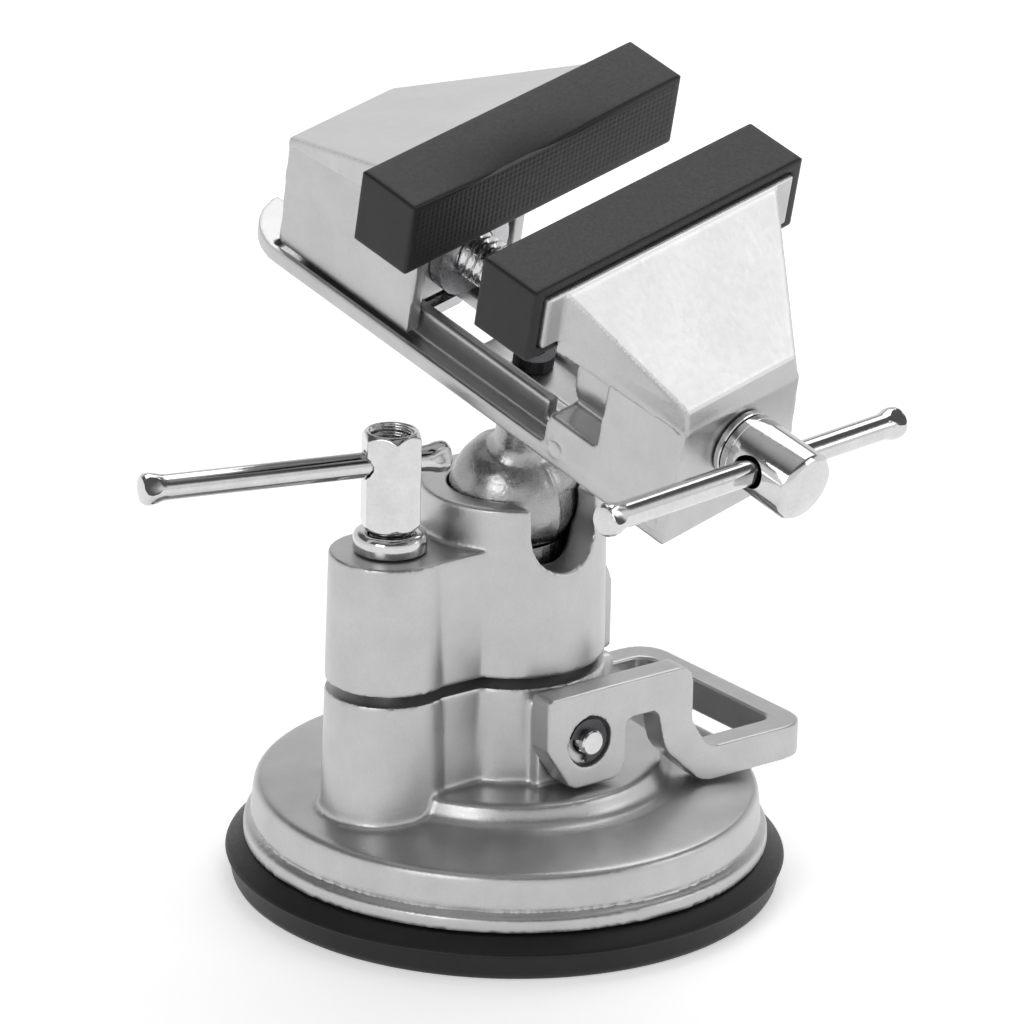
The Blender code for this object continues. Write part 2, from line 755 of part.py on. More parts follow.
def build_head():
    ball_seat()
    head = pivot("head", (0, 0, BALL_Z), HEAD_ANGLES)
    ball_stud(head)
    neck_screw(head)
    vise_bed(head)
    moving_jaw(head)
    jaw_pad("fixed_jaw_pad", FIXED_FACE, FIXED_FACE + PAD_DEPTH, head)
    jaw_pad("moving_jaw_pad", MOVING_FACE, MOVING_FACE - PAD_DEPTH, head)
    jaw_nut(head)
    keeper(head)
    turner = pivot("screw_turner", (0, 0, SCREW_W), parent=head)
    lead_screw(turner)
    ring_on_screw("screw_washer", BED_RIGHT + GAP, BED_RIGHT + 1.6, SCREW_R + 0.4, WASHER_R, CHROME, head)
    ring_on_screw("screw_retaining_ring", 18.1, 19.5, 4.5, 6.5, STEEL, head)
    middle = Vector((SCREW_BAR_U, 0, 0))
    along = screw_bar_direction()
    handle_bar("screw_bar", middle - along * SCREW_BAR_NEAR, middle + along * SCREW_BAR_FAR, turner)


clear_scene()
PARTS = new_collection("ball_joint_vise")
HELPERS = new_collection("helpers")
CAST = new_material("cast_metal", (0.62, 0.62, 0.63), 0.38, 0.9)
BALL_METAL = new_material("ball_metal", (0.52, 0.52, 0.54), 0.35, 0.95)
CHROME = new_material("chrome", (0.82, 0.82, 0.84), 0.12, 1.0)
STEEL = new_material("steel", (0.55, 0.56, 0.58), 0.3, 1.0)
DARK_STEEL = new_material("dark_steel", (0.1, 0.1, 0.11), 0.4, 0.9)
RUBBER = new_material("black_rubber", (0.03, 0.03, 0.032), 0.6, 0.0)
build_base()
build_clamp()
build_head()
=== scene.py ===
"""How the ball-joint vise looks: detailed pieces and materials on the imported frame.

Castings are fused from simple solids, given one skin of small faces and softened, which rounds their
edges and inside corners as a mould does. Turned parts are made from profiles, and threads are real
helices. Sizes are in millimetres until a piece is finished. The base's axis is the origin; the head
has its own axes, u along the screw, v along the jaws and w upwards, with the ball's centre at (0, 0, 0).
"""

import math

import bmesh
import bpy
from mathutils import Euler, Matrix, Vector, noise


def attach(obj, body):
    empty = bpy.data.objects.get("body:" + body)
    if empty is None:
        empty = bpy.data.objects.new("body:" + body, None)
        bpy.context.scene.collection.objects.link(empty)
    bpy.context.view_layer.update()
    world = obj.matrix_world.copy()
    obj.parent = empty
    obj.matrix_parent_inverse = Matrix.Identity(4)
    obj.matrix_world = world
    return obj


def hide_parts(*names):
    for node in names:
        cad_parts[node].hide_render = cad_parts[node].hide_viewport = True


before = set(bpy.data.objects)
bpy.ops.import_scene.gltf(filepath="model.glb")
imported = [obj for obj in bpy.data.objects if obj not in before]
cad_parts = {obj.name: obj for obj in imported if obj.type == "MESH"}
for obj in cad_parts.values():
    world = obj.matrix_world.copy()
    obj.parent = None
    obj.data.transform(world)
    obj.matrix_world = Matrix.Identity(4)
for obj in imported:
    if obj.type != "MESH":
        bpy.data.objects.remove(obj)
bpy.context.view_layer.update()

MM = 0.001
GAP = 0.3  # between neighbours that touch on the real object

# Suction base
RIM_BOTTOM = 8.7
SHELF_TOP = 26.3
SHELF_R = 30.0
RIM_R = 51.5
LEVER_BOSS_HALF = 7.7
LEVER_BOSS_OUT = 19.9
LEVER_BOSS_TOP = 43
PLUNGER_HOLE_R = 6.4
PIN_SLOT_HALF = 2.9
PIN_Z = 36.3
PIN_R = 2.5
SUCTION_TRAVEL = 1.0

# Column and clamp
COLUMN_DRAFT = 0.5  # how much wider the mould's taper makes the foot of a round part
CLAMP_DRAFT = 0.4  # how much narrower it makes the top
COLUMN_R = 18.6
LOBE_R = 12.2
WEB_HALF = 11.2
STUD_X = -29.3
STUD_R = 4.0
STUD_POCKET_R = 8.5
STUD_POCKET_TOP = 24.5
COLUMN_TOP = 45.8
CLAMP_BOTTOM = 47.8
LOBE_TOP = 73.6
CLAMP_TOP = 82.2
POST_R = 11.0
POST_TOP = 62.0
POST_HOLE_R = 4.4
SLOT_HALF = 7.6
SLOT_Z = 76.1
TONGUE_X = 22.2
FULCRUM_X = 23.2
FULCRUM_HALF = 4.0
COLLAR_TOP = 77.8
NUT_TOP = 98.0
STUD_PITCH = 1.25
NUT_ACROSS_FLATS = 10.6
NUT_FACE_TURN = -25.2
NUT_BAR_Z = 91.5
NUT_BAR_TURN = -15.5
NUT_BAR_LENGTH = 62.2
NUT_BAR_SHIFT = -19.4

# Lever, measured from its pin
CHEEK_OUTSIDE = 26.3
CHEEK_INSIDE = 20.5
HANDLE_END = 55.5
HANDLE_TOP = -8.0
HANDLE_BOTTOM = -14.8
HANDLE_THICKNESS = 5.2
CLIP_RECESS_R = 5.1
CLIP_RECESS_DEPTH = 1.6

# Ball and head; all but BALL_Z are on the head's own axes
BALL_Z = 79.9
BALL_R = 12.56
BALL_LUMPS = ((0.45, 0.06), (1.7, 0.02))  # how many in a millimetre, and their height
SOCKET_GAP = 0.4
NECK_R = 5.2
HEAD_ANGLES = (9.9, 17.4, -79.3)
BED_BOTTOM = 29.1
BED_TOP = 32.5
BED_LEFT = -66.5
BED_RIGHT = 51.5
BED_HALF = 17.0
CHANNEL_OUT = 15.6
CHANNEL_LEFT = -56
CHANNEL_BOTTOM = 30.6
RAIL_OUT = 11.0
RAIL_IN = 8.4
RAIL_TOP = 36.8
RAIL_START = -53.0
RAIL_END = 14.5
FLOOR_SLOT_HALF = 4.6
FLOOR_SLOT_END = -10.1
PANEL_LEFT = 18.5
PANEL_TOP = 39.4
SHOULDER_HALF = 16.6
FIXED_TOP_HALF = 15.4
SCREW_BOSS_R = 11.5
EJECTOR_MARKS = [(22.6, 33.4), (47.8, 33.2)]  # u and w, on the bed's near side
JAW_NOSE = (-57.0, 56.3)  # u and w of the low edge of the moving jaw's sloping face
PLATE_NOSE = (50.2, 58.9)  # the same edge on the fixed jaw
MILLED_DEPTH = 0.3  # how far from a sloping face its milled finish reaches
MILLED_FACING = 0.8  # how squarely a small face must look along the sloping face's normal
JAW_TOP = 79.3
JAW_HALF_BOTTOM = 15.0
JAW_HALF_TOP = 14.2
PLATE_STEP = 3.4  # a jaw's plate stops this far behind the pad's gripping face
PLATE_HALF = 32.7
PLATE_BOTTOM = 68.2
PAD_HALF = 35.6
PAD_BOTTOM = 65.8
PAD_TOP = 81.7
PAD_DEPTH = 13.8
FIXED_FACE = 13.8
MOVING_FACE = -4.3
SCREW_W = 46.3
SCREW_R = 4.9
SCREW_HEAD_R = 6.9
SCREW_LEFT = -52.0
WASHER_R = 6.8
SCREW_HEAD_START = 53.4
SCREW_HEAD_END = 69.3
SCREW_BAR_U = 60.2
SCREW_BAR_TURN = 11.1
SCREW_BAR_NEAR = 47.3
SCREW_BAR_FAR = 37.2
BAR_R = 2.5
THREAD_PITCH = 1.9
KEEPER_BOTTOM = 26.2
KEEPER_LEFT = -50
KEEPER_RIGHT = -26
KEEPER_HALF = 9
KEEPER_SCREWS = (-43, -33)
KEEPER_HOLE_R = 1.9

# Size of the small faces of a softened piece's skin, and how often it is smoothed
HOUSING_SKIN = (0.6, 3)
LEVER_SKIN = (0.36, 5)
CLAMP_SKIN = (0.42, 7)
NUT_SKIN = (0.2, 2)
BALL_SKIN = (0.3, 3)
HEAD_SKIN = (0.45, 4)

# Each finish: its darker and lighter colour, how metallic it is, its least and greatest roughness, how
# many grains there are in a metre, their depth in millimetres, and how many slow blotches in a metre
FINISHES = {
    "cast_metal": ((0.47, 0.47, 0.475), (0.57, 0.57, 0.575), 0.92, (0.28, 0.40), 1800, 0.030, 120),
    "ball_metal": ((0.32, 0.32, 0.325), (0.43, 0.43, 0.435), 1.0, (0.22, 0.34), 800, 0.060, 160),
    "chrome": ((0.58, 0.58, 0.585), (0.70, 0.70, 0.705), 1.0, (0.05, 0.14), 1300, 0.006, 220),
    "steel": ((0.42, 0.42, 0.43), (0.58, 0.58, 0.59), 1.0, (0.22, 0.38), 1500, 0.010, 200),
    "dark_steel": ((0.05, 0.05, 0.055), (0.12, 0.12, 0.125), 0.9, (0.30, 0.50), 1500, 0.012, 200),
    "black_rubber": ((0.006, 0.006, 0.0065), (0.013, 0.013, 0.0135), 0.0, (0.36, 0.50), 1600, 0.020, 110),
}
MILLED_FINISH = ((0.68, 0.68, 0.685), (0.80, 0.80, 0.805), 0.95, (0.36, 0.44), 900, 0.0003, 60)
MILLED_STRETCH = (0.12, 1.0, 1.0)  # draws the grain out along the head's u axis
NOISE_LOW = 0.3  # a noise texture stays mostly between these
NOISE_HIGH = 0.7

# CAD nodes that no piece replaces, and their finishes
KEPT_NODES = {
    "plunger": "steel", "lever_clip_near": "dark_steel", "lever_clip_far": "dark_steel",
    "ball_seat": "steel", "neck_screw": "dark_steel", "jaw_nut": "steel",
    "keeper_screw_1": "steel", "keeper_screw_2": "steel", "screw_retaining_ring": "steel",
}

# Camera: its place in metres, its axes, and its lens and sensor in millimetres
CAMERA_PLACE = (-0.791344, -1.031211, 0.550344)
CAMERA_RIGHT = (0.79793, -0.60237, 0.02151)
CAMERA_UP = (0.1907, 0.28615, 0.93902)
CAMERA_BACK = (-0.57179, -0.74517, 0.34319)
CAMERA_LENS = 251.4
SENSOR_WIDTH = 36

# Floor, room and lamps, in metres and watts
FLOOR_R = 6.0
FLOOR_GREY = 0.92
FLOOR_ROUGHNESS = 0.9
FLOOR_GLOW = 0.45
ROOM_STRENGTH = 0.9
ROOM_GREYS = [  # how high a direction points, from 0 when level or below to 1 overhead, and its grey
    (0.0, 1.0), (0.36, 0.95), (0.44, 0.40), (0.54, 0.12), (0.74, 0.13), (0.88, 0.40), (1.0, 0.6),
]
LAMP_TARGET = (0, 0, 0.09)
LAMPS = [  # name, place, power and the side of its square
    ("overhead", (0.60, 0.48, 1.25), 7, 1.1),
    ("left_front", (-1.5, -0.6, 0.8), 5, 0.8),
    ("right_front", (0.80, -0.82, 0.62), 1.5, 0.6),
]

AT_BASE = Matrix.Identity(4)
AT_LEVER = Matrix.Translation((0, 0, PIN_Z))
AT_NUT = Matrix.Translation((STUD_X, 0, NUT_BAR_Z))
HEAD_TURN = Euler([math.radians(a) for a in HEAD_ANGLES]).to_matrix().to_4x4()
AT_HEAD = Matrix.Translation((0, 0, BALL_Z)) @ HEAD_TURN
AT_SCREW = AT_HEAD @ Matrix.Translation((0, 0, SCREW_W))
HEX_ANGLES = [math.radians(60 * i) for i in range(6)]


# ---------------------------------------------------------------- solids, in millimetres


def link(name, mesh):
    obj = bpy.data.objects.new(name, mesh)
    bpy.context.scene.collection.objects.link(obj)
    return obj


def from_bmesh(bm):
    bmesh.ops.recalc_face_normals(bm, faces=bm.faces)
    mesh = bpy.data.meshes.new("solid")
    bm.to_mesh(mesh)
    bm.free()
    return link("solid", mesh)


def box(low, high):
    """A block between its lowest and highest corners."""
    bm = bmesh.new()
    bmesh.ops.create_cube(bm, size=1)
    bmesh.ops.scale(bm, vec=[b - a for a, b in zip(low, high)], verts=bm.verts)
    bmesh.ops.translate(bm, vec=[(a + b) / 2 for a, b in zip(low, high)], verts=bm.verts)
    return from_bmesh(bm)


def wedge(ends):
    """A block along X. Each end is (x at its bottom, x at its top, half width at its bottom, half width
    at its top, bottom, top)."""
    bm = bmesh.new()
    bmesh.ops.create_cube(bm, size=2)
    for vert in bm.verts:
        bottom_x, top_x, bottom_half, top_half, bottom, top = ends[vert.co.x > 0]
        if vert.co.z > 0:
            vert.co = (top_x, math.copysign(top_half, vert.co.y), top)
        else:
            vert.co = (bottom_x, math.copysign(bottom_half, vert.co.y), bottom)
    return from_bmesh(bm)


def rod(start, end, radius, end_radius=None, sides=72):
    """A round bar between two points, or a cone where end_radius is given."""
    start, end = Vector(start), Vector(end)
    along = end - start
    turn = along.to_track_quat("Z", "Y").to_matrix().to_4x4()
    bm = bmesh.new()
    bmesh.ops.create_cone(
        bm,
        cap_ends=True,
        segments=sides,
        radius1=radius,
        radius2=radius if end_radius is None else end_radius,
        depth=along.length,
        matrix=Matrix.Translation((start + end) / 2) @ turn,
    )
    return from_bmesh(bm)


def ball(centre, radius, rings=40):
    bm = bmesh.new()
    bmesh.ops.create_uvsphere(
        bm, u_segments=2 * rings, v_segments=rings, radius=radius, matrix=Matrix.Translation(centre)
    )
    return from_bmesh(bm)


def lathe(profile, steps=96, closed=False, along_x=False):
    """Turns a profile of (radius, height) points about Z, or about X."""
    bm = bmesh.new()
    rings = []
    for radius, height in profile:
        if radius < 0.001:
            rings.append([bm.verts.new((0, 0, height))])
            continue
        angles = [2 * math.pi * i / steps for i in range(steps)]
        rings.append([bm.verts.new((radius * math.cos(a), radius * math.sin(a), height)) for a in angles])
    pairs = list(zip(rings, rings[1:]))
    if closed:
        pairs.append((rings[-1], rings[0]))
    for first, second in pairs:
        for i in range(steps):
            corners = [
                first[i % len(first)], first[(i + 1) % len(first)],
                second[(i + 1) % len(second)], second[i % len(second)],
            ]
            corners = list(dict.fromkeys(corners))
            if len(corners) > 2:
                bm.faces.new(corners)
    if along_x:
        bmesh.ops.transform(bm, matrix=Matrix.Rotation(math.radians(90), 4, "Y"), verts=bm.verts)
    return from_bmesh(bm)


def rounded(corners, arc_steps=8):
    """An outline whose (x, y, radius) corners are replaced by arcs that touch both sides."""
    outline = []
    for i, (x, y, radius) in enumerate(corners):
        corner = Vector((x, y))
        before = (Vector(corners[i - 1][:2]) - corner).normalized()
        after = (Vector(corners[(i + 1) % len(corners)][:2]) - corner).normalized()
        if not radius:
            outline.append((x, y))
            continue
        half = before.angle(after) / 2
        centre = corner + (before + after).normalized() * (radius / math.sin(half))
        reach = radius / math.tan(half)
        first = corner + before * reach - centre
        last = corner + after * reach - centre
        start = math.atan2(first.y, first.x)
        sweep = math.remainder(math.atan2(last.y, last.x) - start, 2 * math.pi)
        for step in range(arc_steps + 1):
            angle = start + sweep * step / arc_steps
            outline.append((centre.x + radius * math.cos(angle), centre.y + radius * math.sin(angle)))
    return outline


def prism(outline, low, high, upright=False):
    """A flat outline made thick from low to high along Z, or along Y when upright (outline in X, Z)."""
    bm = bmesh.new()
    rings = []
    for level in (low, high):
        points = [(x, level, y) if upright else (x, y, level) for x, y in outline]
        rings.append([bm.verts.new(p) for p in points])
    bm.faces.new(rings[0])
    bm.faces.new(list(reversed(rings[1])))
    for i in range(len(outline)):
        j = (i + 1) % len(outline)
        bm.faces.new((rings[0][i], rings[1][i], rings[1][j], rings[0][j]))
    return from_bmesh(bm)


def thread(start, end, root, crest, pitch=THREAD_PITCH):
    """A threaded bar along X, with its ends run down to the root."""
    sides, rows_a_turn = 40, 8
    flat_crest, flank = 1.6, 4.4
    bm = bmesh.new()
    count = round((end - start) / pitch * rows_a_turn)
    rings = []
    for row in range(count + 1):
        along = row / count * (end - start)
        fade = min(1.0, along / pitch, (end - start - along) / pitch)
        ring = []
        for i in range(sides):
            phase = (along / pitch - i / sides) % 1.0
            lift = min(1.0, max(0.0, flat_crest - abs(phase - 0.5) * flank))
            radius = root + (crest - root) * lift * fade
            angle = 2 * math.pi * i / sides
            ring.append(bm.verts.new((start + along, radius * math.cos(angle), radius * math.sin(angle))))
        rings.append(ring)
    for first, second in zip(rings, rings[1:]):
        for i in range(sides):
            j = (i + 1) % sides
            bm.faces.new((first[i], first[j], second[j], second[i]))
    bm.faces.new(list(reversed(rings[0])))
    bm.faces.new(rings[-1])
    return from_bmesh(bm)


def moved(solid, matrix):
    solid.data.transform(matrix)
    return solid


def turned_up(solid):
    """The same solid with its X axis turned to Z."""
    return moved(solid, Matrix.Rotation(math.radians(-90), 4, "Y"))


# ---------------------------------------------------------------- pieces


def bake(solid):
    """The solid's mesh with its modifiers applied; the solid itself is removed."""
    bpy.context.view_layer.update()
    graph = bpy.context.evaluated_depsgraph_get()
    mesh = bpy.data.meshes.new_from_object(solid.evaluated_get(graph), depsgraph=graph)
    bpy.data.objects.remove(solid, do_unlink=True)
    return mesh


def fuse(first, *steps):
    """Applies (operation, solids) steps to the first solid, in order."""
    others = []
    for operation, solids in steps:
        for other in solids:
            modifier = first.modifiers.new(operation, "BOOLEAN")
            modifier.operation = operation
            modifier.solver = "MANIFOLD"
            modifier.object = other
            others.append(other)
    mesh = bake(first)
    for other in others:
        bpy.data.objects.remove(other, do_unlink=True)
    return link("solid", mesh)


def soften(solid, face_size, passes):
    """Gives the solid one skin of small even faces, and smooths it."""
    skin = solid.modifiers.new("skin", "REMESH")
    skin.mode = "VOXEL"
    skin.voxel_size = face_size
    smooth = solid.modifiers.new("smooth", "SMOOTH")
    smooth.factor = 0.5
    smooth.iterations = passes
    return link("solid", bake(solid))


def bevelled(solid, width, angle=30):
    """The solid with its edges of more than angle degrees cut back by width."""
    bevel = solid.modifiers.new("edges", "BEVEL")
    bevel.width = width
    bevel.segments = 2
    bevel.limit_method = "ANGLE"
    bevel.angle_limit = math.radians(angle)
    return link("solid", bake(solid))


def merge(*solids):
    """One solid made of several separate shells."""
    bm = bmesh.new()
    for solid in solids:
        bm.from_mesh(solid.data)
        bpy.data.objects.remove(solid, do_unlink=True)
    mesh = bpy.data.meshes.new("solid")
    bm.to_mesh(mesh)
    bm.free()
    return link("solid", mesh)


def piece(name, solid, at, body, slot, nodes, sharp=40):
    """Places a finished solid in the row frame, on its body."""
    mesh = solid.data
    mesh.transform(Matrix.Scale(MM, 4) @ at)
    mesh.shade_smooth()
    mesh.set_sharp_from_angle(angle=math.radians(sharp))
    solid.name = name
    mesh.name = name
    mesh.materials.clear()
    mesh.materials.append(MATERIALS[slot])
    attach(solid, body)
    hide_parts(*nodes)
    return solid


# ---------------------------------------------------------------- materials


def node_of(tree, kind, **inputs):
    node = tree.nodes.new(kind)
    for name, value in inputs.items():
        node.inputs[name.replace("_", " ")].default_value = value
    return node


def scale_to(tree, value, low, high):
    """A noise value spread from low to high."""
    node = tree.nodes.new("ShaderNodeMapRange")
    tree.links.new(value, node.inputs["Value"])
    node.inputs["From Min"].default_value = NOISE_LOW
    node.inputs["From Max"].default_value = NOISE_HIGH
    node.inputs["To Min"].default_value = low
    node.inputs["To Max"].default_value = high
    return node.outputs["Result"]


def stretched(tree, turn, scale):
    """Object coordinates in a turned frame, then scaled."""
    place = tree.nodes.new("ShaderNodeTexCoord").outputs["Object"]
    turned = tree.nodes.new("ShaderNodeMapping")
    turned.inputs["Rotation"].default_value = turn.inverted().to_euler()
    tree.links.new(place, turned.inputs["Vector"])
    scaled = tree.nodes.new("ShaderNodeMapping")
    scaled.inputs["Scale"].default_value = scale
    tree.links.new(turned.outputs["Vector"], scaled.inputs["Vector"])
    return scaled.outputs["Vector"]


def make_material(name, finish, turn=None, scale=None):
    """A finish with a fine grain in its surface, and slow changes of colour and gloss."""
    dark, light, metallic, roughness, grain, depth, blotch = finish
    material = bpy.data.materials.new(name)
    material.use_nodes = True
    tree = material.node_tree
    shader = tree.nodes["Principled BSDF"]
    shader.inputs["Metallic"].default_value = metallic
    if not metallic:
        shader.inputs["Specular IOR Level"].default_value = 0.35
    place = stretched(tree, turn or Matrix.Identity(4), scale or (1, 1, 1))
    slow = node_of(tree, "ShaderNodeTexNoise", Scale=blotch, Detail=5.0, Roughness=0.6)
    fine = node_of(tree, "ShaderNodeTexNoise", Scale=grain, Detail=3.0, Roughness=0.65)
    for texture in (slow, fine):
        tree.links.new(place, texture.inputs["Vector"])
    colour = tree.nodes.new("ShaderNodeMix")
    colour.data_type = "RGBA"
    colour.inputs["A"].default_value = (*dark, 1)
    colour.inputs["B"].default_value = (*light, 1)
    both = tree.nodes.new("ShaderNodeMath")
    both.operation = "ADD"
    tree.links.new(scale_to(tree, slow.outputs["Fac"], 0.0, 0.6), both.inputs[0])
    tree.links.new(scale_to(tree, fine.outputs["Fac"], 0.0, 0.4), both.inputs[1])
    tree.links.new(both.outputs["Value"], colour.inputs["Factor"])
    tree.links.new(colour.outputs["Result"], shader.inputs["Base Color"])
    low, high = roughness
    tree.links.new(scale_to(tree, fine.outputs["Fac"], low, high), shader.inputs["Roughness"])
    bump = node_of(tree, "ShaderNodeBump", Strength=1.0, Distance=depth * MM)
    tree.links.new(fine.outputs["Fac"], bump.inputs["Height"])
    tree.links.new(bump.outputs["Normal"], shader.inputs["Normal"])
    return material


def make_materials():
    """One finish for each of the record's slots, and the milled faces of the castings."""
    made = {name: make_material(name, finish) for name, finish in FINISHES.items()}
    made["milled"] = make_material("milled_faces", MILLED_FINISH, turn=HEAD_TURN, scale=MILLED_STRETCH)
    return made


# ---------------------------------------------------------------- suction base


def build_cup():
    profile = [
        (0, 3.4), (42.6, 3.4), (44.0, 4.2), (45.2, 8.0), (45.6, 8.3), (51.0, 8.35), (51.6, 8.1),
        (54.4, 6.2), (54.85, 5.85), (54.98, 5.6), (54.9, 5.35), (54.1, 5.0), (53.9, 4.8), (53.85, 4.4),
        (53.85, 1.8), (53.7, 1.2), (53.3, 0.5), (52.8, 0.12), (52.4, 0.0), (51.6, 0.1), (50.4, 0.7),
        (46.0, 1.0), (45.0, 0.7), (44.2, 0.05), (42.8, 0.05), (42.0, 0.7), (30.0, 1.3), (10.0, 1.6),
        (0, 1.7),
    ]
    cup = lathe(profile, steps=180)
    piece("cup", cup, AT_BASE, "base", "black_rubber", ["suction_cup"], sharp=30)


def build_housing():
    profile = [
        (0, SHELF_TOP), (SHELF_R - 0.6, SHELF_TOP), (SHELF_R + 0.2, 25.9), (SHELF_R + 0.5, 25.0),
        (31.2, 23.2), (32.4, 22.2), (34.2, 21.6), (36.6, 21.2), (48.0, 19.95), (49.0, 19.7), (49.5, 19.0),
        (50.2, 13.2), (49.7, 12.7), (49.7, 12.2), (50.9, 11.9), (RIM_R, 11.4), (RIM_R, RIM_BOTTOM),
        (46.6, RIM_BOTTOM), (46.2, 15.6), (36.0, 17.0), (30.0, 18.6), (27.5, 21.8), (0, 21.8),
    ]
    eye_bottom = PIN_Z - PIN_R - GAP
    eye_top = PIN_Z + PIN_R + SUCTION_TRAVEL + GAP
    housing = fuse(
        lathe(profile, steps=128),
        ("UNION", [
            rod((0, 0, 23), (0, 0, COLUMN_TOP), COLUMN_R + COLUMN_DRAFT, COLUMN_R),
            rod((STUD_X, 0, 18.6), (STUD_X, 0, COLUMN_TOP), LOBE_R + COLUMN_DRAFT, LOBE_R),
            box((STUD_X, -WEB_HALF, 20), (-8, WEB_HALF, COLUMN_TOP)),
            box(
                (-LEVER_BOSS_HALF, -LEVER_BOSS_OUT, 23),
                (LEVER_BOSS_HALF, LEVER_BOSS_OUT, LEVER_BOSS_TOP),
            ),
            box((12, -FULCRUM_HALF, 23), (FULCRUM_X, FULCRUM_HALF, 42.4)),
            rod((0, 0, 44), (0, 0, POST_TOP), POST_R),
        ]),
        ("DIFFERENCE", [
            rod((0, 0, 15), (0, 0, 42.6), PLUNGER_HOLE_R),
            box((-PIN_SLOT_HALF, -28, eye_bottom), (PIN_SLOT_HALF, 28, eye_top)),
            rod((STUD_X, 0, 15), (STUD_X, 0, 50), STUD_R + 0.4),
            rod((STUD_X, 0, 12), (STUD_X, 0, STUD_POCKET_TOP), STUD_POCKET_R),
            rod((0, 0, 54), (0, 0, 70), POST_HOLE_R),
        ]),
    )
    housing = soften(housing, *HOUSING_SKIN)
    piece("base_casting", housing, AT_BASE, "base", "cast_metal", ["base_housing"])


def build_lever():
    side = rounded(
        [
            (-10.0, 10.3, 1.0), (25.2, 10.4, 3.0), (25.2, -1.0, 4.0), (29.6, HANDLE_TOP, 5.0),
            (HANDLE_END + 1, HANDLE_TOP, 0), (HANDLE_END + 1, HANDLE_BOTTOM, 0),
            (28.0, HANDLE_BOTTOM, 6.0), (18.6, -6.0, 8.0), (16.6, 2.6, 1.5), (8.7, 2.6, 1.8),
            (8.7, -9.3, 3.5), (-4.2, -9.3, 4.0), (-10.0, -0.6, 1.5),
        ]
    )
    handle_inside = HANDLE_END - HANDLE_THICKNESS
    plan = rounded(
        [
            (-12, -CHEEK_OUTSIDE, 0), (HANDLE_END, -CHEEK_OUTSIDE, 6.5), (HANDLE_END, CHEEK_OUTSIDE, 6.5),
            (-12, CHEEK_OUTSIDE, 0), (-12, CHEEK_INSIDE, 0), (handle_inside, CHEEK_INSIDE, 3.0),
            (handle_inside, -CHEEK_INSIDE, 3.0), (-12, -CHEEK_INSIDE, 0),
        ]
    )
    floor = CHEEK_OUTSIDE - CLIP_RECESS_DEPTH
    recesses = [rod((0, sign * floor, 0), (0, sign * 30, 0), CLIP_RECESS_R) for sign in (-1, 1)]
    lever = fuse(
        prism(side, -CHEEK_OUTSIDE, CHEEK_OUTSIDE, upright=True),
        ("INTERSECT", [prism(plan, -20, 20)]),
        ("DIFFERENCE", [rod((0, -30, 0), (0, 30, 0), PIN_R + 0.25), *recesses]),
    )
    lever = soften(lever, *LEVER_SKIN)
    piece("lever_casting", lever, AT_LEVER, "lever", "cast_metal", ["suction_lever"])


def build_pin():
    half = [
        (0, 27.4), (2.2, 27.4), (2.5, 27.1), (PIN_R, 25.9), (2.0, 25.9), (2.0, 24.9), (PIN_R, 24.9),
    ]
    profile = half + [(r, -h) for r, h in reversed(half)]
    pin = moved(lathe(profile, steps=48), Matrix.Rotation(math.radians(90), 4, "X"))
    piece("hinge_pin", pin, AT_LEVER, "plunger", "chrome", ["lever_pin"])


# ---------------------------------------------------------------- clamp


def build_clamp():
    tongue = [
        (12, CLAMP_BOTTOM), (COLUMN_R + 0.4, CLAMP_BOTTOM), (COLUMN_R + 0.4, 43.4), (TONGUE_X, 44.3),
        (TONGUE_X, 56.4), (TONGUE_X - 0.25, 58.4), (TONGUE_X - 0.9, 60.4), (TONGUE_X - 2.0, 62.2),
        (TONGUE_X - 4.2, 64.8), (12, 64.8),
    ]
    clamp = fuse(
        rod((0, 0, CLAMP_BOTTOM), (0, 0, CLAMP_TOP), COLUMN_R, COLUMN_R - CLAMP_DRAFT, sides=128),
        ("UNION", [
            rod((STUD_X, 0, CLAMP_BOTTOM), (STUD_X, 0, LOBE_TOP), LOBE_R, LOBE_R - CLAMP_DRAFT, sides=96),
            box((STUD_X, -WEB_HALF, CLAMP_BOTTOM), (-8, WEB_HALF, LOBE_TOP)),
            prism(tongue, -FULCRUM_HALF, FULCRUM_HALF, upright=True),
        ]),
        ("DIFFERENCE", [
            rod((0, 0, 40), (0, 0, 75), POST_R + SOCKET_GAP),
            ball((0, 0, BALL_Z), BALL_R + SOCKET_GAP),
            rod((0, -30, SLOT_Z), (0, 0, SLOT_Z), SLOT_HALF),
            box((-SLOT_HALF, -30, SLOT_Z), (SLOT_HALF, 0, 90)),
            rod((STUD_X, 0, 40), (STUD_X, 0, 80), STUD_R + 0.5),
        ]),
    )
    clamp = soften(clamp, *CLAMP_SKIN)
    piece("clamp_casting", clamp, AT_BASE, "clamp", "cast_metal", ["upper_clamp"])


def build_stud():
    to_stud = Matrix.Translation((STUD_X, 0, 0))
    shank = rod((STUD_X, 0, 22), (STUD_X, 0, 60), STUD_R - 0.15)
    head_corner, bottom, top = 7.4, 20.2, 24.2
    head = prism([(head_corner * math.cos(a), head_corner * math.sin(a)) for a in HEX_ANGLES], bottom, top)
    crown = lathe([(0, top), (7.6, top), (7.6, 21.0), (6.6, bottom), (0, bottom)])
    head = moved(fuse(head, ("INTERSECT", [crown])), to_stud)
    screwed = moved(turned_up(thread(58, 87.4, STUD_R - 0.55, STUD_R - 0.02, pitch=STUD_PITCH)), to_stud)
    stud = fuse(shank, ("UNION", [head, screwed]))
    piece("stud", stud, AT_BASE, "base", "steel", ["clamp_stud"])


